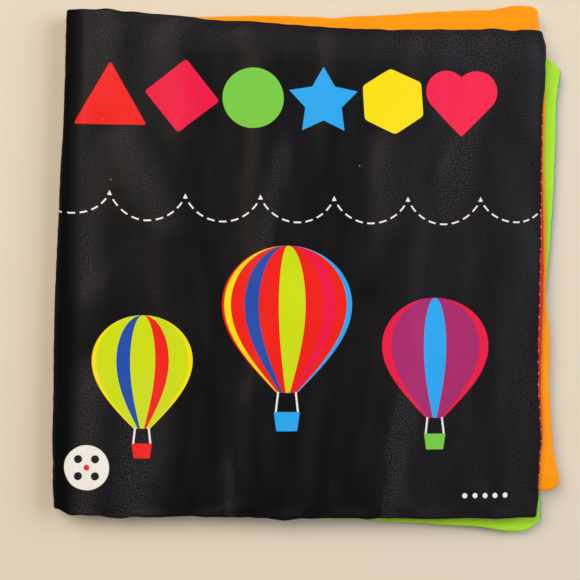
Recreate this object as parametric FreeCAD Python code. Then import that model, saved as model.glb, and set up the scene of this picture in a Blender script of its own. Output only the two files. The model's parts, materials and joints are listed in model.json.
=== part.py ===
# A soft cloth crinkle book, closed and lying on its back cover.
#
# The cover is one sewn cloth: a padded front cover, a narrow fold at the spine
# and a padded back cover. One padded inner sheet is folded inside it, sewn down
# at the fold, and makes the two leaves. The sheet was sewn slightly askew, so
# its upper leaf leans one way and its lower leaf the other way, past the cover.
#
# Frame: +X runs from the fold to the fore-edge, +Y to the head of the page and
# +Z up. The origin is the centre of the back cover's underside.
import FreeCAD, Part
import math
import os

from FreeCAD import Vector

# ---- driving dimensions, in millimetres and degrees ----
cover_width = 152.0          # from the outside of the fold to the fore-edge
cover_height = 156.0         # head to tail
cover_thickness = 2.6        # padded middle of a cover
cover_seam_thickness = 1.4   # flat sewn rim round a cover, and its hinge edge
cover_corner_radius = 3.0

page_overhang = 3.2          # a leaf stands this far past the cover's fore-edge
page_end_inset = 1.0         # a leaf is this much short of the cover at head and tail
page_thickness = 2.4         # padded middle of a leaf
page_seam_thickness = 1.2    # flat sewn rim round a leaf
page_corner_radius = 3.5
upper_leaf_skew = 3.3        # the upper leaf leans towards the head
lower_leaf_skew = -2.2       # the lower leaf leans towards the tail

seam_allowance = 4.0         # cloth turned in along a rim, which keeps it flat
rim_share = 0.45             # rounding of a rim, as a share of its thickness
padding_rise = 8.0           # the padding reaches its full height this far in
hinge_run = 9.0              # a cover bends down to its hinge over this length
gutter_height = 3.2          # the inner sheet's fold, where it is sewn down
gutter_depth = 2.6           # from that fold to where the two leaves part

leaf_gap = 0.4               # air between the two leaves
running_gap = 0.3            # clearance of whatever moves past something
spine_end_inset = 1.0        # the fold and gutter stop short of head and tail

# ---- levels and places that follow from them ----
total_thickness = 2 * cover_thickness + 2 * page_thickness + 2 * running_gap + leaf_gap
middle_z = total_thickness / 2
cover_level = middle_z - cover_thickness / 2         # above or below the middle
leaf_level = (leaf_gap + page_thickness) / 2         # above or below the middle

# Folded right back, the covers meet back to back with the running gap between,
# which puts each hinge a quarter of the thickness from the middle.
hinge_level = (total_thickness + running_gap) / 4
knuckle_radius = cover_seam_thickness / 2
fold_x = -cover_width / 2
hinge_x = fold_x + knuckle_radius
gutter_x = fold_x + cover_seam_thickness
page_width = cover_width - cover_seam_thickness + page_overhang
page_height = cover_height - 2 * page_end_inset
leaf_root_level = (gutter_height - page_seam_thickness) / 2

touching = 0.001             # two edges nearer than this are one


def line_meeting(point_a, along_a, point_b, along_b):
    """Where two lines in the XY plane cross."""
    turn = along_a.x * along_b.y - along_a.y * along_b.x
    apart = point_b - point_a
    reach = (apart.x * along_b.y - apart.y * along_b.x) / turn
    return point_a + along_a * reach


def inset_corners(corners, insets):
    """Moves each side of a counter-clockwise outline inwards by its own inset.

    Side number i runs from corner i to the next one."""
    count = len(corners)
    sides = []
    for i in range(count):
        along = corners[(i + 1) % count] - corners[i]
        along.normalize()
        inwards = Vector(-along.y, along.x, 0)
        sides.append((corners[i] + inwards * insets[i], along))
    return [line_meeting(*sides[i - 1], *sides[i]) for i in range(count)]


def rounded_wire(corners, radii, z):
    """A closed outline at height z, each corner rounded, or left sharp at radius 0."""
    count = len(corners)
    ends = []
    for i in range(count):
        back = corners[i - 1] - corners[i]
        ahead = corners[(i + 1) % count] - corners[i]
        half_angle = back.getAngle(ahead) / 2
        back.normalize()
        ahead.normalize()
        reach = radii[i] / math.tan(half_angle)
        bisector = back + ahead
        bisector.normalize()
        centre = corners[i] + bisector * (radii[i] / math.sin(half_angle))
        middle = centre - bisector * radii[i]
        ends.append((corners[i] + back * reach, middle, corners[i] + ahead * reach))
    lift = Vector(0, 0, z)
    edges = []
    for i, (start, middle, end) in enumerate(ends):
        if radii[i] > 0:
            edges.append(Part.Arc(start + lift, middle + lift, end + lift).toShape())
        following = ends[(i + 1) % count][0]
        edges.append(Part.LineSegment(end + lift, following + lift).toShape())
    return Part.Wire(edges)


def s_bend(start, end):
    """Two equal arcs in the XZ plane, from level at start to level at end."""
    run = end.x - start.x
    rise = end.z - start.z
    if abs(rise) < touching:
        return [Part.LineSegment(start, end).toShape()]
    radius = (run ** 2 + rise ** 2) / (4 * abs(rise))
    # How far a quarter of the bend runs and rises from its level end.
    half_turn = math.atan2(abs(rise), run)
    quarter_run = radius * math.sin(half_turn)
    quarter_rise = math.copysign(radius * (1 - math.cos(half_turn)), rise)
    halfway = (start + end) / 2
    first = start + Vector(quarter_run, 0, quarter_rise)
    second = end - Vector(quarter_run, 0, quarter_rise)
    return [
        Part.Arc(start, first, halfway).toShape(),
        Part.Arc(halfway, second, end).toShape(),
    ]


def web(root, flat_z, thickness, length, depth):
    """A thin sewn web: level at flat_z, and bent to its root at the spine side.

    It is a profile in the XZ plane drawn out along Y."""
    half = Vector(0, 0, thickness / 2)
    bend = Vector(root.x + hinge_run, 0, flat_z)
    end = Vector(root.x + length, 0, flat_z)
    profile = Part.Wire(
        s_bend(root - half, bend - half)
        + [Part.LineSegment(bend - half, end - half).toShape()]
        + [Part.LineSegment(end - half, end + half).toShape()]
        + [Part.LineSegment(end + half, bend + half).toShape()]
        + [edge.reversed() for edge in reversed(s_bend(root + half, bend + half))]
        + [Part.LineSegment(root + half, root - half).toShape()]
    )
    face = Part.Face(profile)
    face.translate(Vector(0, -depth / 2, 0))
    return face.extrude(Vector(0, depth, 0))


def knuckle(axis):
    """The rolled edge of a cover, round the axis that the cover turns about."""
    length = cover_height - 2 * spine_end_inset
    up = Vector(0, 0, knuckle_radius)
    outermost = Vector(-knuckle_radius, 0, 0)
    profile = Part.Wire([
        Part.Arc(axis + up, axis + outermost, axis - up).toShape(),
        Part.LineSegment(axis - up, axis + up).toShape(),
    ])
    face = Part.Face(profile)
    face.translate(Vector(0, -length / 2, 0))
    return face.extrude(Vector(0, length, 0))


def padding(corners, radii, spine_inset, level, seam_thickness, thickness, side):
    """The swelling of the padding on one side (+1 or -1) of a web.

    It starts inside the seam allowance and crowns over to a level middle."""
    seam_half = seam_thickness / 2
    swell = thickness / 2 - seam_half
    # A height that is three quarters up at half way makes the crown end level.
    stations = [(0.0, 0.0), (0.5, 0.75), (1.0, 1.0)]
    wires = []
    for across, up in stations:
        inset = seam_allowance + across * padding_rise
        from_spine = spine_inset + across * padding_rise
        # The sides run tail, fore-edge, head, spine.
        outline = inset_corners(corners, [inset, inset, inset, from_spine])
        z = level + side * (seam_half + up * swell)
        wires.append(rounded_wire(outline, radii, z))
    crown = Part.makeLoft(wires, True, False)
    # A plug carries the crown down into the web, so that the two fuse cleanly.
    base = Part.Face(wires[0])
    plug = base.extrude(Vector(0, 0, -side * seam_half))
    return crown.fuse(plug)


def soften_rim(solid, outline, root_x, radius):
    """Rounds the edges along the outline, but for its spine side at root_x.

    A seam turned right side out is round like this."""
    rim = []
    for edge in solid.Edges:
        start, end = edge.Vertexes[0].Point, edge.Vertexes[-1].Point
        rises = math.hypot(end.x - start.x, end.y - start.y) < touching
        middle = edge.valueAt((edge.FirstParameter + edge.LastParameter) / 2)
        at_spine = middle.x < root_x + touching
        below = Part.Vertex(middle.x, middle.y, 0)
        if not rises and not at_spine and outline.distToShape(below)[0] < touching:
            rim.append(edge)
    return solid.makeFillet(radius, rim)


def padded_panel(corners, corner_radius, root, flat_z, seam_thickness, thickness):
    """A cover or a leaf: its web cut to outline, with the padding on both sides."""
    reach = max(corner.x for corner in corners) - root.x + 1.0
    depth = 2 * max(abs(corner.y) for corner in corners) + 2.0
    body = web(root, flat_z, seam_thickness, reach, depth)
    radii = [0, corner_radius, corner_radius, 0]
    cutter = Part.Face(rounded_wire(corners, radii, -total_thickness))
    body = body.common(cutter.extrude(Vector(0, 0, 3 * total_thickness)))
    outline = rounded_wire(corners, radii, 0)
    body = soften_rim(body, outline, root.x, rim_share * seam_thickness)
    inner_radii = [corner_radius + seam_allowance] * 4
    spine_inset = hinge_run + seam_allowance
    for side in (1, -1):
        swelling = padding(corners, inner_radii, spine_inset, flat_z,
                           seam_thickness, thickness, side)
        body = body.fuse(swelling)
    return body


def cover(side):
    """The front cover (side +1) or the back cover (side -1)."""
    half = cover_height / 2
    right = fold_x + cover_width
    corners = [
        Vector(hinge_x, -half, 0),
        Vector(right, -half, 0),
        Vector(right, half, 0),
        Vector(hinge_x, half, 0),
    ]
    axis = Vector(hinge_x, 0, middle_z + side * hinge_level)
    panel = padded_panel(corners, cover_corner_radius, axis, middle_z + side * cover_level,
                         cover_seam_thickness, cover_thickness)
    return panel.fuse(knuckle(axis)).removeSplitter()


def leaf_corners(skew):
    """The outline of one leaf: a rectangle turned by skew, cut off at the gutter."""
    angle = math.radians(skew)
    along = Vector(math.cos(angle), math.sin(angle), 0)
    up = Vector(-math.sin(angle), math.cos(angle), 0)
    middle = Vector(gutter_x, 0, 0)
    head = middle + up * (page_height / 2)
    tail = middle - up * (page_height / 2)
    gutter_line = Vector(0, 1, 0)
    return [
        line_meeting(middle, gutter_line, tail, along),
        tail + along * page_width,
        head + along * page_width,
        line_meeting(middle, gutter_line, head, along),
    ]


def leaf(side, skew):
    """The upper leaf (side +1) or the lower leaf (side -1) of the inner sheet."""
    root = Vector(gutter_x, 0, middle_z + side * leaf_root_level)
    return padded_panel(leaf_corners(skew), page_corner_radius, root,
                        middle_z + side * leaf_level,
                        page_seam_thickness, page_thickness)


def inner_sheet():
    """Both leaves and the sewn fold that joins them, in one piece."""
    length = page_height - 2 * spine_end_inset
    fold = Part.makeBox(gutter_depth, length, gutter_height,
                        Vector(gutter_x, -length / 2, middle_z - gutter_height / 2))
    upper = leaf(1, upper_leaf_skew)
    lower = leaf(-1, lower_leaf_skew)
    return fold.fuse([upper, lower])


def spine():
    """The strip of cover cloth that runs down the fold, between the two hinges."""
    length = cover_height - 2 * spine_end_inset
    half_height = hinge_level - knuckle_radius - running_gap
    strip = Part.makeBox(cover_seam_thickness, length, 2 * half_height,
                         Vector(fold_x, -length / 2, middle_z - half_height))
    outer_edges = [
        edge for edge in strip.Edges
        if abs(edge.BoundBox.XMax - fold_x) < touching and edge.BoundBox.YLength > length / 2
    ]
    return strip.makeFillet(cover_seam_thickness / 2, outer_edges)


parts = {
    "front_cover": cover(1),
    "back_cover": cover(-1),
    "spine": spine(),
    "pages": inner_sheet(),
}

os.makedirs("parts", exist_ok=True)
for name, shape in parts.items():
    solids = shape.Solids
    if len(solids) != 1 or not shape.isValid():
        raise RuntimeError(f"{name}: {len(solids)} solids, valid {shape.isValid()}")
    box = solids[0].BoundBox
    solids[0].exportStep(f"parts/{name}.step")
    print(f"{name}: {solids[0].Volume / 1000:.1f} cm3, "
          f"x {box.XMin:.2f} to {box.XMax:.2f}, y {box.YMin:.2f} to {box.YMax:.2f}, "
          f"z {box.ZMin:.2f} to {box.ZMax:.2f}")
print(f"hinges at x {hinge_x:.3f}, z {middle_z - hinge_level:.3f} and {middle_z + hinge_level:.3f}")
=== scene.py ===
# The looks of a soft cloth crinkle book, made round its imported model.
#
# Three padded cloth pieces stand for the four sewn solids: the front cover and the
# back cover, which each run on round the fold to the middle of the spine, and the
# inner sheet, whose two leaves are one folded cloth.
#
# Lengths are in millimetres until a mesh is made. Flat places on a cloth are (u, v):
# u runs from the fold to the fore-edge and v from the tail to the head.
import json
import math

import bmesh
import bpy
from mathutils import Matrix, Vector, noise


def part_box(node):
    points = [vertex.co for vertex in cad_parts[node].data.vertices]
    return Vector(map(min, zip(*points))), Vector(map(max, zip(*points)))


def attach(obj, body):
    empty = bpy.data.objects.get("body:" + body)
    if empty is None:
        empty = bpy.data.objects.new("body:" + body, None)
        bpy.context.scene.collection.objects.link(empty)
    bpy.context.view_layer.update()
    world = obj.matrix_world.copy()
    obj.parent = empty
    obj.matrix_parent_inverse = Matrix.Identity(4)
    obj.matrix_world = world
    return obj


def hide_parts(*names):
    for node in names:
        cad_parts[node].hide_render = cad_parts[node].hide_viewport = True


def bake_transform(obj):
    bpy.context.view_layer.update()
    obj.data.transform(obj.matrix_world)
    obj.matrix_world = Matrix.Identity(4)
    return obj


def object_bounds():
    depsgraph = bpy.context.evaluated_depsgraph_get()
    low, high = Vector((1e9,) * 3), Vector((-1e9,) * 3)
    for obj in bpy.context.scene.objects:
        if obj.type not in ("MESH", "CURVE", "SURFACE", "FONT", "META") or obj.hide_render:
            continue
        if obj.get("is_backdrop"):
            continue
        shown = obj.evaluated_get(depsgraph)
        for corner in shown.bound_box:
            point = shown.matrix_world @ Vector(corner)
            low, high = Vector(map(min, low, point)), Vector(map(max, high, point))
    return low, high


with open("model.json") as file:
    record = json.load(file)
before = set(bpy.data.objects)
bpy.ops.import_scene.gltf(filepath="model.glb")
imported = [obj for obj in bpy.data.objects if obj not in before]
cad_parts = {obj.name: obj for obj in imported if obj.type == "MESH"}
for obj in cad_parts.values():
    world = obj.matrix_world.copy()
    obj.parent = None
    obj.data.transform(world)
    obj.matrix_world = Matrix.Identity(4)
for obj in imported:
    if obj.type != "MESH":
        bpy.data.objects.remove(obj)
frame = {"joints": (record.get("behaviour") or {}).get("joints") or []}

MM = 0.001
cad_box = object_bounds()


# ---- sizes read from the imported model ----

joints = {joint["name"]: joint for joint in frame["joints"]}
front_hinge = Vector(joints["front_cover_hinge"]["pos_m"]) / MM
back_hinge = Vector(joints["back_cover_hinge"]["pos_m"]) / MM
spine_low, spine_high = (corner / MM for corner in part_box("spine"))
cover_low, cover_high = (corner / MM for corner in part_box("front_cover"))
pages_low, pages_high = (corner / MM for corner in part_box("pages"))

fold_x = spine_low.x
cover_width = cover_high.x - fold_x
cover_height = cover_high.y - cover_low.y
top_z = cover_high.z
middle_z = top_z / 2
gutter_x = pages_low.x

# ---- sizes of the sewn cloth ----

running_gap = 0.3
leaf_gap = 0.4
cover_half = (top_z - pages_high.z - running_gap) / 2        # half of its padded thickness
cover_level = top_z - cover_half - middle_z                  # above or below the middle
leaf_half = (pages_high.z - pages_low.z - leaf_gap) / 4
leaf_level = leaf_half + leaf_gap / 2
fold_room = 0.4              # the front cover's padding stays this far below its highest folds
cover_seam_half = 0.7
leaf_seam_half = 0.6
bare_half = 0.5              # two layers of cloth and no padding, at the spine
hinge_run = 3.8              # the cover rises from its hinge to its level over this
fold_radius = 1.2            # of the cover's own bend at the hinge

page_overhang = 3.2          # a leaf stands this far past the cover's fore-edge
page_width = cover_width - 2 * cover_seam_half + page_overhang
page_height = cover_height - 2.0
upper_leaf_skew = math.radians(3.3)
lower_leaf_skew = math.radians(-2.2)

stitch_pitch = 3.6
strip_width = 1.25           # how far the red lining rolls out over the fore-edge
leaf_strip_width = 0.35      # how far a leaf's outer cloth rolls round its own fore-edge
stitched_from, stitched_to = 10.0, 130.0     # where along the height its thread shows


# ---- small helpers ----

def ease(share):
    """0 below 0, 1 above 1, and a smooth step between."""
    share = min(max(share, 0.0), 1.0)
    return share * share * (3 - 2 * share)


def bell(distance, half_width):
    """1 at no distance, falling smoothly to 0 at the half width."""
    share = min(abs(distance) / half_width, 1.0)
    return (1 + math.cos(math.pi * share)) / 2


def stations(length, first, widest, last):
    """Places along a length: first apart at its start, last at its end, widest between."""
    places = [0.0]
    while places[-1] < length:
        here = places[-1]
        step = min(widest, first + 0.15 * here, last + 0.15 * max(0.0, length - here))
        places.append(here + step)
    return [place * length / places[-1] for place in places]


def rough(u, v, wavelength, seed):
    """Soft noise from about -1 to 1 over the cloth, with bumps of about that size."""
    return noise.noise(Vector((u / wavelength, v / wavelength, 7.3 * seed)))


def bumps(place, listed):
    """The sum of bumps along an edge, each of them (place, half width, height)."""
    return sum(height * bell(place - at, half_width) for at, half_width, height in listed)


# ---- how each cloth's outline strays from straight, outwards, in millimetres ----

class Outline:
    """A cloth's size, its two fore-edge corners and the bumps of its four edges."""

    def __init__(self, width, height, tail_corner, head_corner, fore, head, tail, seed, fold=(),
                 clipped=False):
        self.width, self.height = width, height
        self.tail_corner, self.head_corner = tail_corner, head_corner
        self.fore, self.head, self.tail, self.fold = fore, head, tail, fold
        self.seed = seed
        self.clipped = clipped       # corners cut straight across, not rounded

    def inwards(self, u, v):
        """How far a flat place lies from the nearest sewn edge."""
        return min(self.width - u, v, self.height - v)

    def shaped(self, u, v):
        """Where a place on the plain rectangle comes to lie on the sewn cloth."""
        at_head = v > self.height / 2
        radius = self.head_corner if at_head else self.tail_corner
        across = u - (self.width - radius)
        along = (v - (self.height - radius)) if at_head else (radius - v)
        if across > 0 and along > 0:
            reach = across + along if self.clipped else math.hypot(across, along)
            pull = max(across, along) / reach
            u = self.width - radius + across * pull
            v = (self.height - radius + along * pull) if at_head else (radius - along * pull)
        pucker = 0.16
        from_fore, from_head, from_tail = self.width - u, self.height - v, v
        fore = bumps(v, self.fore) + pucker * rough(0, v, 3.0, self.seed)
        # The spine's ends run straight on from the fold.
        past_fold = max(u, 0.0)
        head = bumps(past_fold, self.head) + pucker * rough(u, 0, 3.4, self.seed + 1)
        tail = bumps(past_fold, self.tail) + pucker * rough(u, 0, 3.2, self.seed + 2)
        u += fore * math.exp(-from_fore / 14)
        v += head * math.exp(-from_head / 12) - tail * math.exp(-from_tail / 12)
        return u, v

    def belly(self, v):
        """How far the middle of the spine stands out past the fold."""
        return bumps(v, self.fold) + 0.14 * rough(0, v, 2.3, self.seed + 3)


spine_bow = [(78, 400, 0.45), (60, 75, 1.35), (22, 16, 0.4), (8, 8, 0.35), (106, 14, 0.22)]
front_outline = Outline(
    cover_width, cover_height, 1.2, 1.1,
    fore=[(156.5, 6, -0.8), (149, 6.5, 0.6), (140, 9.5, 0.55), (126, 26, -0.2), (82, 34, 0.5),
          (52, 62, 0.5), (24, 19, 1.0), (19, 5, -0.3), (6, 7, 0.3), (2, 4, -0.3)],
    head=[(2, 30, 0.65), (12.7, 5.5, 0.6), (22, 5, 0.3), (46, 14, -0.75), (88, 60, -1.75),
          (90, 6, -0.15), (97.5, 4, 0.2), (102, 4, -0.2), (135, 5, 0.45), (142, 4.5, -0.2),
          (147, 7, 0.4)],
    tail=[(0.4, 4.6, -1.7), (19, 7, 0.85), (29, 9, 0.45), (41, 4, -0.25), (85, 90, 0.6),
          (68, 8, 0.2), (71, 6, 0.7), (79, 4, 0.25), (97, 4, 0.3), (118, 14, 0.35),
          (138, 10, 0.35)],
    fold=spine_bow, seed=1,
)
back_outline = Outline(
    cover_width, cover_height, 2.4, 3.0,
    fore=[(120, 30, -0.7), (60, 26, 0.3), (20, 14, -0.5)],
    head=[(2, 30, 0.65), (46, 20, 0.4), (110, 20, -0.4)],
    tail=[(0.4, 4.6, -1.7), (50, 18, -0.4), (115, 18, 0.4)],
    fold=spine_bow, seed=1,
)
upper_outline = Outline(
    page_width, page_height, 2.8, 2.0,
    fore=[(126, 24, 1.35), (40, 62, -1.55), (46, 15, 0.95), (3, 9, 1.1)],
    head=[(42, 26, -0.9), (87, 47, -1.5), (84, 6, -0.45), (147, 11, 1.35)],
    tail=[(148, 18, 1.7)],
    seed=21,
)
lower_outline = Outline(
    page_width, page_height, 1.5, 3.6,
    fore=[(152, 14, 1.1), (108, 62, 1.25), (0, 32, 2.8)],
    head=[(148, 20, -0.8)],
    tail=[(103, 45, -0.8), (107, 12, 0.4), (124, 12, 0.25), (145, 12, 0.9), (154, 5.5, -2.6)],
    seed=31, clipped=True,
)


# ---- creases pressed into the front cover's outer cloth, and where painted sheen lightens it ----

class Band:
    """A soft band along a line on the flat cloth; a hard one ends sharply on its left."""

    def __init__(self, start, end, half_width, strength, hard=1.0):
        self.start = Vector(start)
        self.end = Vector(end)
        self.half_width, self.strength, self.hard = half_width, strength, hard

    def at(self, u, v):
        along = self.end - self.start
        offset = Vector((u, v)) - self.start
        share = offset.dot(along) / along.length_squared
        aside = along.cross(offset) / along.length
        width = self.half_width * (self.hard if aside > 0 else 1.0)
        fade = ease((share + 0.12) / 0.24) * ease((1.12 - share) / 0.24)
        return self.strength * fade * bell(aside, width)


# Heights in millimetres.
front_creases = [
    Band((18, 134), (17, 158), 9.0, 0.55),
    Band((60, 72), (68, 117), 4.5, 0.60),
    Band((52, -4), (53, 20), 3.5, 0.65),
    Band((61, -4), (60, 40), 4.0, 0.50),
    Band((100, -4), (100.5, 17), 7.0, 0.85, hard=0.16),
    Band((100.5, 15), (112, 58), 8.0, 0.60, hard=0.35),
    Band((119, 104), (136, 156), 7.0, 0.55),
]

# Shares of the cloth's face lightened with painted sheen, in bands along its folds; the sheen also brings
# out its slubs.
front_painted_sheen = [
    Band((8, -8), (9, 46), 9, 0.95),
    Band((23, -8), (26, 42), 13, 0.85),
    Band((6, 66), (4, 128), 12, 0.75),
    Band((33, 88), (17, 120), 9, 0.70),
    Band((12, 128), (10, 160), 9, 0.80),
    Band((24, 120), (28, 160), 18, 0.45),
    Band((60, 72), (68, 117), 4.5, 0.80),
    Band((53, -8), (53, 16), 3.5, 0.70, hard=0.3),
    Band((101.5, -8), (104, 22), 8, 0.90, hard=0.12),
    Band((103, 18), (112, 60), 9, 0.70, hard=0.30),
    Band((102, 90), (100, 120), 9, 0.45),
    Band((120, 96), (136, 160), 9, 0.65),
    Band((30, 153), (158, 150), 12, 0.50),
    Band((147, -8), (149, 150), 12, 0.40),
    Band((122, -30), (122, 190), 38, 0.35),
]


# ---- cloth that was cut a little too long for its padding ----

class SlackCloth:
    """A simulated square of cloth, squeezed until it buckles into soft folds.

    It's ten times its size while it's simulated, which Blender's cloth is tuned for.
    Its relief is read back as a height in millimetres."""

    ten_times = 10 * MM

    def __init__(self, slack, stiffness, seed):
        self.columns, self.rows = 76, 78
        width, height = cover_width * self.ten_times, cover_height * self.ten_times
        cloth = self.cut(width, height, slack, seed)
        self.sew(cloth, slack)
        self.heights = self.buckle(cloth, stiffness)

    def cut(self, width, height, slack, seed):
        """A flat cloth longer than its padding, faintly uneven so that it can buckle."""
        mesh = bmesh.new()
        bmesh.ops.create_grid(mesh, x_segments=self.columns, y_segments=self.rows, size=0.5)
        for vertex in mesh.verts:
            u, v = vertex.co.x * cover_width, vertex.co.y * cover_height
            start = 0.2 * rough(u, 0.3 * v, 17.0, seed)
            vertex.co = Vector((vertex.co.x * width * (1 + slack),
                                vertex.co.y * height * (1 + slack / 5),
                                start * self.ten_times))
        data = bpy.data.meshes.new("slack_cloth")
        mesh.to_mesh(data)
        mesh.free()
        cloth = bpy.data.objects.new("slack_cloth", data)
        bpy.context.scene.collection.objects.link(cloth)
        return cloth

    def sew(self, cloth, slack):
        """Draws the cloth in to its sewn size over the first frames."""
        cloth.shape_key_add(name="cut")
        sewn = cloth.shape_key_add(name="sewn")
        for point in sewn.data:
            point.co.x /= 1 + slack
            point.co.y /= 1 + slack / 5
        for frame_number, drawn in ((1, 0.0), (15, 1.0)):
            sewn.value = drawn
            sewn.keyframe_insert("value", frame=frame_number)

    def buckle(self, cloth, stiffness):
        """Runs the simulation and reads the height of the cloth at each grid point."""
        held = cloth.vertex_groups.new(name="held")
        edge = [0.0, 0.0]
        for vertex in cloth.data.vertices:
            edge = [max(edge[0], vertex.co.x), max(edge[1], vertex.co.y)]
        for vertex in cloth.data.vertices:
            near = min(edge[0] - abs(vertex.co.x), edge[1] - abs(vertex.co.y))
            # The rim is sewn down, and wadding holds the rest softly.
            held.add([vertex.index], 1.0 if near < 0.001 else 0.09, "REPLACE")
        modifier = cloth.modifiers.new("cloth", "CLOTH")
        rules = modifier.settings
        rules.quality = 5
        rules.mass = 0.3
        rules.tension_stiffness = 15
        rules.compression_stiffness = 15
        rules.bending_stiffness = stiffness
        rules.vertex_group_mass = held.name
        rules.effector_weights.gravity = 0
        modifier.collision_settings.use_collision = False
        modifier.point_cache.frame_end = 32
        for frame_number in range(1, modifier.point_cache.frame_end + 1):
            bpy.context.scene.frame_set(frame_number)
        graph = bpy.context.evaluated_depsgraph_get()
        settled = cloth.evaluated_get(graph).data.vertices
        heights = {}
        for vertex in cloth.data.vertices:
            column = round((vertex.co.x / edge[0] + 1) / 2 * self.columns)
            row = round((vertex.co.y / edge[1] + 1) / 2 * self.rows)
            heights[column, row] = settled[vertex.index].co.z / self.ten_times
        bpy.context.scene.frame_set(1)
        bpy.data.objects.remove(cloth)
        return heights

    def relief(self, u, v):
        """The height of the cloth over a flat place, in millimetres."""
        across = min(max(u / cover_width, 0.0), 0.9999) * self.columns
        along = min(max(v / cover_height, 0.0), 0.9999) * self.rows
        column, row = int(across), int(along)
        across, along = across - column, along - row
        low = self.heights[column, row] * (1 - across) + self.heights[column + 1, row] * across
        high = (self.heights[column, row + 1] * (1 - across)
                + self.heights[column + 1, row + 1] * across)
        return low * (1 - along) + high * along


cover_slack = SlackCloth(slack=0.003, stiffness=3.0, seed=3)
leaf_slack = SlackCloth(slack=0.002, stiffness=1.0, seed=8)


def front_sway(u, v):
    """How far the front cover's outer cloth stands above its padding."""
    rise = sum(crease.at(u, v) for crease in front_creases)
    rise += 1.5 * cover_slack.relief(u, v) + 0.07 * rough(u, v, 3.6, 5) - 0.12
    # Its highest folds just miss the back cover when both are folded right back.
    return 0.58 * math.tanh(rise / 0.58)


def back_sway(u, v):
    """The back cover is pressed flat by the table, with only dents in its cloth."""
    return min(0.0, 0.6 * cover_slack.relief(cover_width - u, v) - 0.1)


def leaf_sway(u, v):
    """The relief of a leaf's cloth."""
    return 0.5 * leaf_slack.relief(u, v) + 0.15 * rough(u, v, 4.5, 6)


# ---- thickness and places of the cloth ----

def rounded(inwards, half):
    """Half the thickness of a turned seam: round at its rim and level further in."""
    share = min(inwards / (1.25 * half), 1.0)
    return half * math.sqrt(1 - (1 - share) ** 2)


def swell(inwards, filled, seam_half, full_half):
    """Half the thickness of padded cloth, thin along its seams.

    filled is the share of it that is there, from none at the spine to 1."""
    half = seam_half + (full_half - seam_half) * ease((inwards - 1.0) / 9.0)
    return bare_half + (half - bare_half) * filled


# The cover's cloth runs up the spine, bends over the hinge and goes on flat, so that
# the middle of its thickness passes through the line that the cover turns about.
hinge_rise = front_hinge.z - middle_z
bend_share = 1 - math.sqrt(0.5)
spine_line_x = front_hinge.x - bend_share * fold_radius
shelf_rise = hinge_rise + bend_share * fold_radius
upright = shelf_rise - fold_radius
bend_length = fold_radius * math.pi / 2
bend_end = upright + bend_length
bend_end_u = spine_line_x + fold_radius - fold_x


# Each cover's bag closes just past the middle of the spine, inside the other's.
spine_tuck = -0.3


def cover_line(run):
    """The middle of a cover's cloth, run millimetres from the middle of the spine.

    It gives x, the rise from the book's middle, and the outward direction of both."""
    if run < upright:
        return spine_line_x, run, -1.0, 0.0
    if run < bend_end:
        turn = (run - upright) / fold_radius
        x = spine_line_x + fold_radius * (1 - math.cos(turn))
        rise = upright + fold_radius * math.sin(turn)
        return x, rise, -math.cos(turn), math.sin(turn)
    level = ease((run - bend_end) / hinge_run)
    x = spine_line_x + fold_radius + run - bend_end
    return x, shelf_rise + (cover_level - shelf_rise) * level, 0.0, 1.0


def cover_u(run):
    """The distance from the fold of a place along a cover's cloth, below 0 on the spine."""
    return run - bend_end + bend_end_u


def cover_point(run, v, layer, side, outline, sway):
    """The point over a place on a cover: layer +1 outside or -1 inside, side +1 in front."""
    full_half = cover_half - (fold_room if layer == side == 1 else 0.0)
    u = cover_u(run)
    inwards = outline.inwards(u, v)
    flat_u, flat_v = outline.shaped(u, v)
    x, rise, out_x, out_rise = cover_line(run)
    # The outer cloth rounds over the fold, and the inner one leaves room for the leaves.
    filled = ease((u + 1.6) / 6.8) if layer > 0 else ease((u - 1.0) / 5.0)
    half = rounded(inwards, swell(inwards, filled, cover_seam_half, full_half))
    if layer > 0:
        calm = ease(inwards / 4.0) * ease((u - 2.0) / 6.0)
        half += sway(flat_u, flat_v) * calm
        # The fold is finely gathered by its seam.
        gathered = ease(inwards / 2.0) * ease(run / 0.6) * ease((7.0 - u) / 7.0)
        half += gathered * (0.16 * rough(0.3 * u, v, 2.1, outline.seed + 7) - 0.05)
    if run == spine_tuck:
        half = 0.0
    x += (flat_u - u) + out_x * layer * half - outline.belly(v) * ease(1 - run / bend_end)
    z = middle_z + side * (rise + out_rise * layer * half)
    return Vector((x, flat_v - cover_height / 2, z))


# The inner sheet turns back on itself beside the spine, with its two leaves one above
# the other, each of them swung round by its own skew.
turn_radius = leaf_level
turn_x = gutter_x + turn_radius + bare_half + 0.1
turn_length = turn_radius * math.pi / 2


def leaf_point(run, v, layer):
    """The point over a place on the inner sheet, run millimetres from its fold.

    run is negative on the lower leaf. Layer +1 is the upper leaf's upper side, the
    outside of the fold and the lower leaf's underside."""
    above = run >= 0
    outline = upper_outline if above else lower_outline
    skew = upper_leaf_skew if above else lower_leaf_skew
    u = abs(run)
    inwards = outline.inwards(u, v)
    flat_u, flat_v = outline.shaped(u, v)
    share = flat_u / page_width
    along = flat_v - page_height / 2
    end_x = gutter_x + page_width * math.cos(skew) - along * math.sin(skew)
    end_y = page_width * math.sin(skew) + along * math.cos(skew)
    y = along + (end_y - along) * share
    travel = (end_x - turn_x + turn_length) * share
    half = rounded(inwards, swell(inwards, ease((u - 1.5) / 18.0), leaf_seam_half, leaf_half))
    calm = ease(inwards / 2.2) * ease((u - 4.0) / 8.0)
    half += leaf_sway(flat_u, flat_v if above else page_height - flat_v) * calm
    if travel < turn_length:
        turn = travel / turn_radius
        x = turn_x - turn_radius * math.cos(turn)
        rise = turn_radius * math.sin(turn)
        out_x, out_rise = -math.cos(turn), math.sin(turn)
    else:
        x, rise = turn_x + travel - turn_length, turn_radius
        out_x, out_rise = 0.0, 1.0
    x += out_x * layer * half
    rise += out_rise * layer * half
    return Vector((x, y, middle_z + (rise if above else -rise)))


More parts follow.
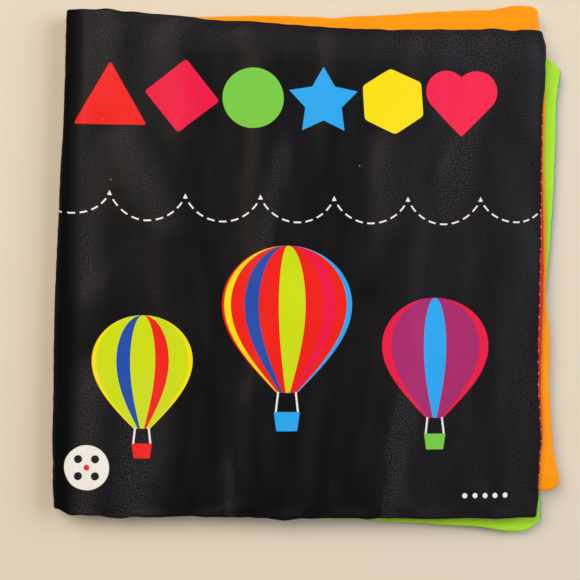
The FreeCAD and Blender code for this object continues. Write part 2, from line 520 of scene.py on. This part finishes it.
# ---- meshes ----

def even_painted_sheen(u, v):
    """An even share of painted sheen, for a piece that has no sheen bands of its own."""
    return 0.35


def sewn_bag(name, across, along, point, print_at, material_at, materials, painted_sheen_at=even_painted_sheen):
    """A closed bag of two cloth layers that meet along the whole rim.

    point(a, v, layer) places a layer's cloth over a flat place, print_at(a, v) is its
    place on the print, material_at(a, v, layer) picks the cloth of a face, and the
    last function gives how much painted sheen lightens the cloth at (a, v)."""
    mesh = bmesh.new()
    print_map = mesh.loops.layers.uv.new("print")
    # How much painted sheen lightens the cloth at each point.
    painted_sheen = mesh.verts.layers.float.new("painted_sheen")
    columns, rows = len(across) - 1, len(along) - 1
    rim = []
    for layer in (1, -1):
        made = bmesh.ops.create_grid(mesh, x_segments=columns, y_segments=rows, size=1)
        at = {}
        for vertex in made["verts"]:
            column = round((vertex.co.x + 1) / 2 * columns)
            row = round((vertex.co.y + 1) / 2 * rows)
            at[vertex] = (across[column], along[row])
            if column in (0, columns) or row in (0, rows):
                rim.append(vertex)
        faces = {face for vertex in made["verts"] for face in vertex.link_faces}
        for face in faces:
            a = sum(at[vertex][0] for vertex in face.verts) / 4
            v = sum(at[vertex][1] for vertex in face.verts) / 4
            face.material_index = material_at(a, v, layer)
            face.smooth = True
            for loop in face.loops:
                loop[print_map].uv = print_at(*at[loop.vert])
        for vertex, place in at.items():
            vertex.co = point(*place, layer) * MM
            vertex[painted_sheen] = painted_sheen_at(*place)
    bmesh.ops.remove_doubles(mesh, verts=rim, dist=0.001 * MM)
    bmesh.ops.recalc_face_normals(mesh, faces=mesh.faces)
    data = bpy.data.meshes.new(name)
    mesh.to_mesh(data)
    mesh.free()
    for material in materials:
        data.materials.append(material)
    piece = bpy.data.objects.new(name, data)
    bpy.context.scene.collection.objects.link(piece)
    return piece


# ---- materials ----

def linear(hex_colour):
    """An sRGB hex colour as the linear colour that a shader takes."""
    parts = [int(hex_colour[i:i + 2], 16) / 255 for i in (1, 3, 5)]
    return [c / 12.92 if c <= 0.04045 else ((c + 0.055) / 1.055) ** 2.4 for c in parts] + [1.0]


def add(tree, kind, links=(), **settings):
    """Adds a node with its settings; links gives its inputs sockets or plain values."""
    node = tree.nodes.new(kind)
    for name, value in settings.items():
        setattr(node, name, value)
    for name, value in dict(links).items():
        if isinstance(value, bpy.types.NodeSocket):
            tree.links.new(value, node.inputs[name])
        else:
            node.inputs[name].default_value = value
    return node


def new_material(name):
    """An empty node material and its tree."""
    material = bpy.data.materials.new(name)
    material.use_nodes = True
    material.node_tree.nodes.clear()
    return material, material.node_tree


def over(tree, below, mask, colour):
    """Lays a colour over another where the mask is 1."""
    mix = add(tree, "ShaderNodeMix", {"Factor": mask, 6: below, 7: colour}, data_type="RGBA")
    return mix.outputs[2]


edge_softness = 0.12         # millimetres over which a printed edge fades


def inside(tree, past):
    """A mask that is 1 where a distance past an edge, in millimetres, is below 0."""
    return add(tree, "ShaderNodeMath", {0: past, 1: -1 / edge_softness, 2: 0.5},
               operation="MULTIPLY_ADD", use_clamp=True).outputs[0]


def disc_edge(tree, at, centre, radius):
    """The distance past the edge of a disc."""
    away = add(tree, "ShaderNodeVectorMath", {0: at, 1: (*centre, 0)}, operation="DISTANCE")
    return add(tree, "ShaderNodeMath", {0: away.outputs["Value"], 1: radius},
               operation="SUBTRACT").outputs[0]


def polygon_edge(tree, at, corners, rounding=0.6):
    """The distance past the edge of a convex polygon with softly rounded corners.

    Its corners are counter-clockwise."""
    furthest = None
    for start, end in zip(corners, corners[1:] + corners[:1]):
        along = (Vector(end) - Vector(start)).normalized()
        outward = Vector((along.y, -along.x, 0))
        reach = add(tree, "ShaderNodeVectorMath", {0: at, 1: outward}, operation="DOT_PRODUCT")
        past = add(tree, "ShaderNodeMath", {0: reach.outputs["Value"], 1: outward.xy.dot(start)},
                   operation="SUBTRACT").outputs[0]
        if furthest is None:
            furthest = past
        else:
            furthest = add(tree, "ShaderNodeMath", {0: furthest, 1: past, 2: rounding},
                           operation="SMOOTH_MAX").outputs[0]
    return furthest


def regular_polygon(centre, radius, count, first_angle):
    """The corners of a regular polygon, counter-clockwise, the first at that angle."""
    angles = [math.radians(first_angle + 360 * i / count) for i in range(count)]
    return [(centre[0] + radius * math.cos(a), centre[1] + radius * math.sin(a)) for a in angles]


def star_edge(tree, at, centre, radius, depth):
    """The distance past the edge of a five-pointed star, one point straight up."""
    place = add(tree, "ShaderNodeVectorMath", {0: at, 1: (*centre, 0)}, operation="SUBTRACT")
    axes = add(tree, "ShaderNodeSeparateXYZ", {0: place.outputs[0]})
    angle = add(tree, "ShaderNodeMath", {0: axes.outputs[0], 1: axes.outputs[1]},
                operation="ARCTAN2").outputs[0]
    half_point = math.pi / 5
    folded = add(tree, "ShaderNodeMath", {0: angle, 1: half_point}, operation="PINGPONG").outputs[0]
    away = add(tree, "ShaderNodeVectorMath", {0: place.outputs[0]}, operation="LENGTH")
    # The edge runs from the point of the star to the notch beside it.
    notch = Vector((math.cos(half_point), math.sin(half_point))) * radius * depth
    side = (notch - Vector((radius, 0))).normalized()
    normal = Vector((-side.y, side.x))
    normal = normal if normal.x > 0 else -normal
    lean = math.atan2(normal.y, normal.x)
    turned = add(tree, "ShaderNodeMath", {0: folded, 1: lean}, operation="SUBTRACT").outputs[0]
    spread = add(tree, "ShaderNodeMath", {0: turned}, operation="COSINE").outputs[0]
    reach = add(tree, "ShaderNodeMath", {0: away.outputs["Value"], 1: spread},
                operation="MULTIPLY").outputs[0]
    return add(tree, "ShaderNodeMath", {0: reach, 1: normal.x * radius},
               operation="SUBTRACT").outputs[0]


def heart_edge(tree, at, centre, size):
    """The distance past the edge of a heart: two discs on a square set on its corner."""
    x, y = centre
    square = polygon_edge(tree, at, [(x, y - size), (x + size, y), (x, y + size), (x - size, y)])
    lobe = size * math.sqrt(0.5)
    nearest = square
    for lean in (-1, 1):
        disc = disc_edge(tree, at, (x + lean * size / 2, y + size / 2), lobe)
        nearest = add(tree, "ShaderNodeMath", {0: nearest, 1: disc}, operation="MINIMUM").outputs[0]
    return nearest


# Bright heat-printed colours of the cover and its motifs.
RED = "#EA1E12"
CRIMSON = "#E61446"
GREEN = "#76C846"
BLUE = "#2AA6F2"
YELLOW = "#F2DE04"
PINK = "#EE1E50"
ROYAL = "#204EAC"
LIME = "#C8DC0C"
PURPLE = "#A6286E"
WHITE = "#ECEAE6"
BLACK = "#040406"
# A lighter black, painted onto dark cloth as sheen.
PAINTED_SHEEN_BLACK = "#363338"


def row_of_shapes(tree, at, colour):
    """Six plain chunky shapes in a row at the head of the cover."""
    row_v = 130.5
    places = [14.5 + 22.2 * i for i in range(6)]
    shapes = [
        (polygon_edge(tree, at, regular_polygon((places[0], row_v - 3.0), 13.0, 3, 90), 1.6), RED),
        (polygon_edge(tree, at, regular_polygon((places[1], row_v), 11.7, 4, 84), 1.6), CRIMSON),
        (disc_edge(tree, at, (places[2], row_v), 9.6), GREEN),
        (star_edge(tree, at, (places[3], row_v - 0.7), 11.4, 0.53), BLUE),
        (polygon_edge(tree, at, regular_polygon((places[4], row_v), 10.8, 6, 94), 1.4), YELLOW),
        (heart_edge(tree, at, (places[5], row_v - 1.5), 9.6), PINK),
    ]
    for edge, paint in shapes:
        colour = over(tree, colour, inside(tree, edge), linear(paint))
    return colour


def scallop_line(tree, at, colour):
    """A dashed white line of shallow scallops right across the cover."""
    pitch, low_v, depth, first_u = 23.4, 91.4, 7.7, 2.8
    half_pitch = pitch / 2
    radius = (half_pitch ** 2 + depth ** 2) / (2 * depth)
    dash_pitch, dash_share, half_line = 3.8, 0.62, 0.25
    axes = add(tree, "ShaderNodeSeparateXYZ", {0: at})
    from_low = add(tree, "ShaderNodeMath", {0: axes.outputs[0], 1: first_u},
                   operation="SUBTRACT").outputs[0]
    aside = add(tree, "ShaderNodeMath", {0: from_low, 1: half_pitch}, operation="PINGPONG").outputs[0]
    folded = add(tree, "ShaderNodeCombineXYZ", {0: aside, 1: axes.outputs[1]}).outputs[0]
    ring = disc_edge(tree, folded, (0, low_v + radius), radius)
    off_ring = add(tree, "ShaderNodeMath", {0: ring}, operation="ABSOLUTE").outputs[0]
    past_line = add(tree, "ShaderNodeMath", {0: off_ring, 1: half_line}, operation="SUBTRACT").outputs[0]
    below_centre = add(tree, "ShaderNodeMath", {0: low_v + radius, 1: axes.outputs[1]},
                       operation="SUBTRACT").outputs[0]
    angle = add(tree, "ShaderNodeMath", {0: aside, 1: below_centre}, operation="ARCTAN2").outputs[0]
    dashes = add(tree, "ShaderNodeMath", {0: angle, 1: 2 * radius}, operation="MULTIPLY").outputs[0]
    beat = add(tree, "ShaderNodeMath", {0: dashes, 1: dash_pitch}, operation="PINGPONG").outputs[0]
    past_dash = add(tree, "ShaderNodeMath", {0: beat, 1: dash_pitch * dash_share},
                    operation="SUBTRACT").outputs[0]
    cusp_v = low_v + depth
    past_cusp = add(tree, "ShaderNodeMath", {0: axes.outputs[1], 1: cusp_v},
                    operation="SUBTRACT").outputs[0]
    dashed = past_line
    for past in (past_dash, past_cusp):
        dashed = add(tree, "ShaderNodeMath", {0: dashed, 1: past}, operation="MAXIMUM").outputs[0]
    tip = polygon_edge(tree, folded, [(half_pitch - 0.75, cusp_v - 0.7),
                                      (half_pitch + 0.75, cusp_v - 0.7),
                                      (half_pitch, cusp_v + 0.8)], 0.05)
    either = add(tree, "ShaderNodeMath", {0: dashed, 1: tip}, operation="MINIMUM").outputs[0]
    return over(tree, colour, inside(tree, either), linear(WHITE))


def balloon(tree, at, colour, mouth, height, half_width, gores, basket):
    """A hot-air balloon: a striped envelope, two ropes and a basket.

    gores are (colour, share of the width) from left to right."""
    u, v = mouth
    shoulder = 0.6               # the share of the height at which it is widest
    place = add(tree, "ShaderNodeVectorMath", {0: at, 1: (u, v, 0)}, operation="SUBTRACT")
    axes = add(tree, "ShaderNodeSeparateXYZ", {0: place.outputs[0]})
    climb = add(tree, "ShaderNodeMath", {0: axes.outputs[1], 1: height * shoulder},
                operation="DIVIDE").outputs[0]
    # Below the shoulder the side is a quarter of a sine, and above it an ellipse.
    swing = add(tree, "ShaderNodeMath", {0: climb, 1: math.pi / 2}, operation="MULTIPLY").outputs[0]
    sine = add(tree, "ShaderNodeMath", {0: swing}, operation="SINE").outputs[0]
    mouth_share = 0.16
    lower = add(tree, "ShaderNodeMath", {0: sine, 1: 1 - mouth_share, 2: mouth_share},
                operation="MULTIPLY_ADD").outputs[0]
    dome = add(tree, "ShaderNodeMath", {0: climb, 1: shoulder / (1 - shoulder),
                                        2: -shoulder / (1 - shoulder)},
               operation="MULTIPLY_ADD").outputs[0]
    squared = add(tree, "ShaderNodeMath", {0: dome, 1: dome}, operation="MULTIPLY").outputs[0]
    rest = add(tree, "ShaderNodeMath", {0: 1.0, 1: squared}, operation="SUBTRACT",
               use_clamp=True).outputs[0]
    upper = add(tree, "ShaderNodeMath", {0: rest}, operation="SQRT").outputs[0]
    past_shoulder = add(tree, "ShaderNodeMath", {0: climb, 1: 1.0}, operation="GREATER_THAN").outputs[0]
    share = add(tree, "ShaderNodeMix", {"Factor": past_shoulder, 2: lower, 3: upper}).outputs[0]
    width = add(tree, "ShaderNodeMath", {0: share, 1: half_width}, operation="MULTIPLY").outputs[0]
    aside = add(tree, "ShaderNodeMath", {0: axes.outputs[0]}, operation="ABSOLUTE").outputs[0]
    past_side = add(tree, "ShaderNodeMath", {0: aside, 1: width}, operation="SUBTRACT").outputs[0]
    below = add(tree, "ShaderNodeMath", {0: 0.0, 1: axes.outputs[1]}, operation="SUBTRACT").outputs[0]
    above = add(tree, "ShaderNodeMath", {0: axes.outputs[1], 1: height}, operation="SUBTRACT").outputs[0]
    past = past_side
    for end in (below, above):
        past = add(tree, "ShaderNodeMath", {0: past, 1: end}, operation="MAXIMUM").outputs[0]
    # The gores are meridians, so they crowd towards both sides.
    across = add(tree, "ShaderNodeMath", {0: axes.outputs[0], 1: width}, operation="DIVIDE").outputs[0]
    clipped = add(tree, "ShaderNodeClamp", {0: across, 1: -1.0, 2: 1.0}).outputs[0]
    meridian = add(tree, "ShaderNodeMath", {0: clipped}, operation="ARCSINE").outputs[0]
    turn = add(tree, "ShaderNodeMath", {0: meridian, 1: 1 / math.pi, 2: 0.5},
               operation="MULTIPLY_ADD").outputs[0]
    ramp = add(tree, "ShaderNodeValToRGB", {0: turn})
    ramp.color_ramp.interpolation = "CONSTANT"
    total = sum(share for _, share in gores)
    start = 0.0
    for i, (paint, share) in enumerate(gores):
        stop = ramp.color_ramp.elements[i] if i < 2 else ramp.color_ramp.elements.new(start / total)
        stop.position = start / total
        stop.color = linear(paint)
        start += share
    colour = over(tree, colour, inside(tree, past), ramp.outputs["Color"])
    # Two ropes lead down from the mouth to the basket.
    half_mouth = half_width * mouth_share
    half_basket = half_width * 0.2
    drop = height * 0.13
    for lean in (-1, 1):
        top, foot = u + lean * half_mouth * 0.85, u + lean * half_basket * 0.85
        rope = polygon_edge(tree, at, [(foot - 0.3, v - drop), (foot + 0.3, v - drop),
                                       (top + 0.3, v + 0.2), (top - 0.3, v + 0.2)], 0.05)
        colour = over(tree, colour, inside(tree, rope), linear(WHITE))
    deep = height * 0.13
    box = polygon_edge(tree, at, [(u - half_basket * 0.8, v - drop - deep),
                                  (u + half_basket * 0.8, v - drop - deep),
                                  (u + half_basket, v - drop), (u - half_basket, v - drop)], 0.5)
    return over(tree, colour, inside(tree, box), linear(basket))


def three_balloons(tree, at, colour):
    """Three balloons at different heights over the lower half of the cover."""
    colour = balloon(tree, at, colour, (70, 38), 46, 20.5,
                     [(RED, 1), (YELLOW, 1), (RED, 1.3), (ROYAL, 1), (RED, 1.2), (LIME, 1.6),
                      (RED, 1.2), (CRIMSON, 1), (RED, 1.2), (BLUE, 1.6)], BLUE)
    colour = balloon(tree, at, colour, (25, 27), 35, 15.5,
                     [(YELLOW, 1), (LIME, 1.4), (ROYAL, 0.7), (LIME, 1.2), (RED, 0.7),
                      (LIME, 1.4), (YELLOW, 1)], RED)
    return balloon(tree, at, colour, (117, 30), 38, 17,
                   [(CRIMSON, 1.2), (PURPLE, 1.6), (BLUE, 0.9), (PURPLE, 1.6), (CRIMSON, 1.2)], GREEN)


def plain_marks(tree, at, colour):
    """A round badge like a button near the fold, and a short row of dots near the fore-edge."""
    u, v = 8.2, 15.1
    discs = [((u, v), 6.9, WHITE), ((u, v), 0.9, RED)]
    discs += [((u + 2.6 * i, v + 2.6 * j), 1.25, BLACK) for i in (-1, 1) for j in (-1, 1)]
    discs += [((126.6 + 3.3 * i, 5.6), 0.8, WHITE) for i in range(5)]
    for centre, radius, paint in discs:
        colour = over(tree, colour, inside(tree, disc_edge(tree, at, centre, radius)), linear(paint))
    return colour


def woven_finish(tree, at, colour, sheen_colour):
    """Finishes printed colour as satin-woven polyester with a crinkly film under it, and lightens dark
    cloth with painted sheen.
    """
    axes = add(tree, "ShaderNodeSeparateXYZ", {0: at})
    # Threads are a quarter of a millimetre apart, drawn at 0.7 mm so that they show.
    thread = 2 * math.pi / 0.7
    waves = []
    for axis in (0, 1):
        phase = add(tree, "ShaderNodeMath", {0: axes.outputs[axis], 1: thread},
                    operation="MULTIPLY").outputs[0]
        waves.append(add(tree, "ShaderNodeMath", {0: phase}, operation="SINE").outputs[0])
    weave = add(tree, "ShaderNodeMath", {0: waves[0], 1: waves[1]}, operation="MULTIPLY").outputs[0]
    # Slubs in the thread leave a grain under half a millimetre across, and painted sheen
    # lies in broad streaks along the book's height.
    slubs = add(tree, "ShaderNodeTexNoise", {"Vector": at, "Scale": 2.5, "Detail": 1.0}).outputs[0]
    grain = add(tree, "ShaderNodeMapRange", {0: slubs, 1: 0.33, 2: 0.70}).outputs[0]
    drawn_out = add(tree, "ShaderNodeVectorMath", {0: at, 1: (0.16, 0.04, 1)}, operation="MULTIPLY")
    sheen_streaks = add(tree, "ShaderNodeTexNoise", {"Vector": drawn_out.outputs[0], "Scale": 1.0,
                                               "Detail": 2.0}).outputs[0]
    # The painted sheen's share at each point, with its streaks added.
    painted_sheen = add(tree, "ShaderNodeAttribute", attribute_name="painted_sheen").outputs["Fac"]
    painted_sheen = add(tree, "ShaderNodeMath", {0: sheen_streaks, 1: 0.5, 2: painted_sheen},
                 operation="MULTIPLY_ADD").outputs[0]
    painted_sheen = add(tree, "ShaderNodeMath", {0: painted_sheen, 1: -0.1}, operation="ADD", use_clamp=True).outputs[0]
    # The more painted sheen lies on the cloth, the more its slubs stand out.
    swing = add(tree, "ShaderNodeMath", {0: grain, 1: -0.5}, operation="ADD").outputs[0]
    swing = add(tree, "ShaderNodeMath", {0: swing, 1: painted_sheen}, operation="MULTIPLY").outputs[0]
    swing = add(tree, "ShaderNodeMath", {0: weave, 1: 0.04, 2: swing},
                operation="MULTIPLY_ADD").outputs[0]
    tone = add(tree, "ShaderNodeMath", {0: swing, 1: 1.6, 2: 0.5}, operation="MULTIPLY_ADD",
               use_clamp=True).outputs[0]
    tone = add(tree, "ShaderNodeMath", {0: tone, 1: painted_sheen}, operation="MULTIPLY").outputs[0]
    # No painted sheen lies along the fold, so it stays darkest there as painted shade, and its cloth is
    # drawn smooth.
    off_fold = add(tree, "ShaderNodeMapRange", {0: axes.outputs[0], 1: 1.0, 2: 8.0},
                   interpolation_type="SMOOTHSTEP").outputs[0]
    tone = add(tree, "ShaderNodeMath", {0: tone, 1: off_fold}, operation="MULTIPLY").outputs[0]
    # Painted sheen: dark cloth is lightened towards the sheen colour, as far as the tone says.
    sheen_lit = add(tree, "ShaderNodeMix", {"Factor": 1.0, 6: colour, 7: linear(sheen_colour)},
               data_type="RGBA", blend_type="LIGHTEN").outputs[2]
    colour = add(tree, "ShaderNodeMix", {"Factor": tone, 6: colour, 7: sheen_lit},
                 data_type="RGBA").outputs[2]
    # Bright cloth is a shade deeper between the slubs.
    shade = add(tree, "ShaderNodeMath", {0: grain, 1: 0.10, 2: 0.93},
                operation="MULTIPLY_ADD").outputs[0]
    colour = add(tree, "ShaderNodeVectorMath", {0: colour, "Scale": shade},
                 operation="SCALE").outputs[0]
    # A few specks of pale lint.
    cells = add(tree, "ShaderNodeTexVoronoi", {"Vector": at, "Scale": 0.09}, feature="F1")
    speck = add(tree, "ShaderNodeMath", {0: cells.outputs["Distance"], 1: 0.020},
                operation="LESS_THAN").outputs[0]
    colour = over(tree, colour, speck, linear("#8E8A86"))
    # The film under the cloth leaves faint dents a few millimetres across.
    film = add(tree, "ShaderNodeTexNoise", {"Vector": at, "Scale": 0.16, "Detail": 3.0}).outputs[0]
    dents = add(tree, "ShaderNodeMath", {0: film, 1: 0.12}, operation="MULTIPLY").outputs[0]
    dents = add(tree, "ShaderNodeMath", {0: grain, 1: 0.015, 2: dents},
                operation="MULTIPLY_ADD").outputs[0]
    height = add(tree, "ShaderNodeMath", {0: weave, 1: 0.006, 2: dents},
                 operation="MULTIPLY_ADD").outputs[0]
    bump = add(tree, "ShaderNodeBump", {"Distance": MM, "Height": height})
    # Handling has rubbed the shine off along the fold.
    gloss = add(tree, "ShaderNodeMath", {0: grain, 1: 0.12, 2: 0.36},
                operation="MULTIPLY_ADD").outputs[0]
    gloss = add(tree, "ShaderNodeMix", {"Factor": off_fold, 2: 0.85, 3: gloss}).outputs[0]
    shader = add(tree, "ShaderNodeBsdfPrincipled", {
        "Base Color": colour,
        "Roughness": gloss,
        "Normal": bump.outputs[0],
        "Specular IOR Level": 0.085,
        "Sheen Weight": 0.02,
        "Sheen Roughness": 0.4,
    })
    add(tree, "ShaderNodeOutputMaterial", {"Surface": shader.outputs[0]})


def printed_cover_cloth():
    """Heat-printed black polyester satin: deep black with bright flat motifs."""
    material, tree = new_material("printed_black_satin")
    at = add(tree, "ShaderNodeUVMap", uv_map="print").outputs[0]
    colour = add(tree, "ShaderNodeRGB")
    colour.outputs[0].default_value = linear(BLACK)
    colour = colour.outputs[0]
    for paint in (row_of_shapes, scallop_line, three_balloons, plain_marks):
        colour = paint(tree, at, colour)
    woven_finish(tree, at, colour, PAINTED_SHEEN_BLACK)
    return material


def dyed_cloth(name, colour, sheen_colour="#000000"):
    """Polyester satin printed in one even colour; the painted sheen only shows on black."""
    material, tree = new_material(name)
    at = add(tree, "ShaderNodeUVMap", uv_map="print").outputs[0]
    even = add(tree, "ShaderNodeRGB")
    even.outputs[0].default_value = linear(colour)
    woven_finish(tree, at, even.outputs[0], sheen_colour)
    return material


def thread_material():
    """Twisted polyester thread: pale, with a soft shine."""
    material, tree = new_material("polyester_thread")
    at = add(tree, "ShaderNodeTexCoord").outputs["Object"]
    twist = add(tree, "ShaderNodeTexNoise", {"Vector": at, "Scale": 3000.0})
    tone = add(tree, "ShaderNodeMix", {"Factor": twist.outputs[0], 6: linear("#B8463C"),
                                       7: linear("#E09A8C")}, data_type="RGBA").outputs[2]
    bump = add(tree, "ShaderNodeBump", {"Distance": 0.05 * MM, "Height": twist.outputs[0]})
    shader = add(tree, "ShaderNodeBsdfPrincipled", {
        "Base Color": tone,
        "Roughness": 0.6,
        "Normal": bump.outputs[0],
        "Sheen Weight": 0.2,
    })
    add(tree, "ShaderNodeOutputMaterial", {"Surface": shader.outputs[0]})
    return material


# ---- the pieces ----

cover_run = bend_end + cover_width - bend_end_u
cover_across = [spine_tuck, -0.03] + stations(cover_run, 0.25, 1.3, 0.12)
cover_along = stations(cover_height, 0.12, 1.3, 0.12)


def strip_at(v):
    """How far the front cover's red lining shows over its fore-edge at that place."""
    grows = 0.25 + 0.75 * bell(v - 68, 66)
    return strip_width * grows * ease((v - 7) / 4) * ease((134 - v) / 1.5)


plain_black = dyed_cloth("black_satin", BLACK, sheen_colour=PAINTED_SHEEN_BLACK)


def lining_at(run):
    """The cloth of a cover's inside there: its own lining, or black along the spine."""
    return 1 if cover_u(run) > 2.0 else 2


def front_cover_cloth():
    """The front cover and the upper half of the spine, black outside and red inside."""
    def point(run, v, layer):
        return cover_point(run, v, layer, 1, front_outline, front_sway)

    def print_at(run, v):
        # The cloth was cut a little askew to its print, about a place near the fold. The
        # fore-edge seam draws the print inwards, and both ends of the dashed line are
        # drawn towards the head.
        skew = math.radians(-0.9)
        pivot_u, pivot_v = 30, 92
        u = cover_u(run)
        u += 1.6 * bell(u - 155, 15)
        v -= bell(v - 93, 30) * (2.2 * bell(u, 26) + 0.9 * bell(u - 146, 26))
        u, v = u - pivot_u, v - pivot_v
        return (pivot_u + u * math.cos(skew) - v * math.sin(skew),
                pivot_v + u * math.sin(skew) + v * math.cos(skew))

    def material_at(run, v, layer):
        rolled = cover_width - cover_u(run) < strip_at(v)
        if layer > 0 and not rolled:
            return 0
        return lining_at(run)

    # Painted sheen lies on the front cover in the bands listed for it.
    def painted_sheen_at(run, v):
        u = cover_u(run)
        return min(sum(band.at(u, v) for band in front_painted_sheen), 1.0)

    return sewn_bag("front_cover_cloth", cover_across, cover_along, point, print_at, material_at,
                    [printed_cover_cloth(), dyed_cloth("red_satin", "#C8281A"), plain_black],
                    painted_sheen_at)


def back_cover_cloth():
    """The back cover and the lower half of the spine, black outside and purple inside."""
    def point(run, v, layer):
        return cover_point(run, v, layer, -1, back_outline, back_sway)

    def print_at(run, v):
        return cover_u(run), v

    def material_at(run, v, layer):
        return 0 if layer > 0 else lining_at(run)

    return sewn_bag("back_cover_cloth", cover_across, cover_along, point, print_at, material_at,
                    [plain_black, dyed_cloth("purple_satin", PURPLE), plain_black])


def inner_sheet():
    """Both leaves and the fold between them: orange and yellow above, green and blue below."""
    half = stations(page_width, 0.3, 1.5, 0.14)
    across = [-place for place in reversed(half[1:])] + half
    along = stations(page_height, 0.14, 1.5, 0.14)

    def print_at(run, v):
        return run, v

    def material_at(run, v, layer):
        rolled = page_width - abs(run) < leaf_strip_width
        if run > 0:
            return 0 if layer > 0 or rolled else 1
        return 2 if layer < 0 and not rolled else 3

    return sewn_bag("inner_sheet", across, along, leaf_point, print_at, material_at,
                    [dyed_cloth("orange_satin", "#FA9808"), dyed_cloth("yellow_satin", "#F6DC14"),
                     dyed_cloth("green_satin", "#A8E438"), dyed_cloth("blue_satin", "#2E8FA8")])


def closing_stitches():
    """The thread that closes the front cover's fore-edge, between its black and its red."""
    mesh = bmesh.new()
    v = stitched_from
    while v < stitched_to:
        u = cover_width - strip_at(v)
        run = u + bend_end - bend_end_u
        here = cover_point(run, v, 1, 1, front_outline, front_sway)
        ahead = cover_point(run, v + 1, 1, 1, front_outline, front_sway)
        turn = (ahead - here).to_track_quat("X", "Z").to_matrix().to_4x4()
        # Half of a stitch's length, width and thickness.
        shape = Matrix.Diagonal((0.38, 0.2, 0.1, 1.0))
        place = Matrix.Translation(here) @ turn @ shape
        bmesh.ops.create_uvsphere(mesh, u_segments=10, v_segments=6, radius=1.0,
                                  matrix=Matrix.Scale(MM, 4) @ place)
        v += stitch_pitch
    data = bpy.data.meshes.new("fore_edge_stitches")
    for face in mesh.faces:
        face.smooth = True
    mesh.to_mesh(data)
    mesh.free()
    data.materials.append(thread_material())
    piece = bpy.data.objects.new("fore_edge_stitches", data)
    bpy.context.scene.collection.objects.link(piece)
    return piece


def hinge_span(hinge, side):
    """Two points a little to either side of a cover's hinge line."""
    reach = Vector((0.35, 0, 0.35 * side))
    return [(hinge + sign * reach) * MM for sign in (-1, 1)]


front = front_cover_cloth()
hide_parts("front_cover", "spine")
start, end = hinge_span(front_hinge, 1)
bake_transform(front)
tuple(start)
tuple(end)

back = back_cover_cloth()
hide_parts("back_cover", "spine")
start, end = hinge_span(back_hinge, -1)
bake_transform(back)
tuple(start)
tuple(end)

leaves = inner_sheet()
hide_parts("pages")
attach(leaves, "book_block")

stitches = closing_stitches()
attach(stitches, "front")


# ---- floor, light and camera ----

def pale_floor():
    """A plain pale cream floor just under the book."""
    mesh = bmesh.new()
    bmesh.ops.create_grid(mesh, x_segments=1, y_segments=1, size=3.0)
    data = bpy.data.meshes.new("floor")
    mesh.to_mesh(data)
    mesh.free()
    floor = bpy.data.objects.new("floor", data)
    bpy.context.scene.collection.objects.link(floor)
    floor.location.z = -0.1 * MM
    material, tree = new_material("cream_floor")
    shader = add(tree, "ShaderNodeBsdfPrincipled", {"Base Color": linear("#DCD2C0"), "Roughness": 0.9})
    add(tree, "ShaderNodeOutputMaterial", {"Surface": shader.outputs[0]})
    data.materials.append(material)
    floor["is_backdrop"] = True


def soft_lamp(name, place, size, power, colour):
    """A square soft box, in millimetres, that faces the middle of the book."""
    lamp = bpy.data.lights.new(name, "AREA")
    lamp.shape = "SQUARE"
    lamp.size = size * MM
    lamp.energy = power
    lamp.color = linear(colour)[:3]
    holder = bpy.data.objects.new(name, lamp)
    bpy.context.scene.collection.objects.link(holder)
    holder.location = Vector(place) * MM
    holder.rotation_euler = (-Vector(place)).to_track_quat("-Z", "Y").to_euler()


def studio_light():
    """A warm key lamp from the left and the head, a cool fill from the right, a dim surround."""
    soft_lamp("key_lamp", (-520, 420, 1120), 800, 13.6, "#FFF1DF")
    soft_lamp("fill_lamp", (1000, 260, 900), 1000, 11.5, "#E6F0FF")
    world = bpy.data.worlds.new("studio")
    world.use_nodes = True
    backdrop = world.node_tree.nodes["Background"]
    backdrop.inputs["Color"].default_value = linear("#F4F1EC")
    backdrop.inputs["Strength"].default_value = 0.22
    bpy.context.scene.world = world


def overhead_camera():
    """A camera almost straight above, a little towards the fold and the tail."""
    place = Vector((-42.2, -15.8, 387.8))
    target = Vector((-4.8, -7.2, 9.7))
    roll = math.radians(1.18)
    camera = bpy.data.cameras.new("camera")
    camera.sensor_width = 36.0
    camera.lens = 75.1
    camera.clip_start = 0.01
    holder = bpy.data.objects.new("camera", camera)
    bpy.context.scene.collection.objects.link(holder)
    holder.location = place * MM
    backwards = (place - target).normalized()
    rightwards = Vector((0, 1, 0)).cross(backwards).normalized()
    upwards = backwards.cross(rightwards)
    aim = Matrix((rightwards, upwards, backwards)).transposed()
    holder.rotation_mode = "QUATERNION"
    holder.rotation_quaternion = (aim @ Matrix.Rotation(roll, 3, "Z")).to_quaternion()
    bpy.context.scene.camera = holder


pale_floor()
studio_light()
overhead_camera()
bpy.context.scene.view_settings.view_transform = "Standard"

visual_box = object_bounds()
boxes = {"cad": cad_box, "visual": visual_box}
{name: [list(corner) for corner in box] for name, box in boxes.items()}
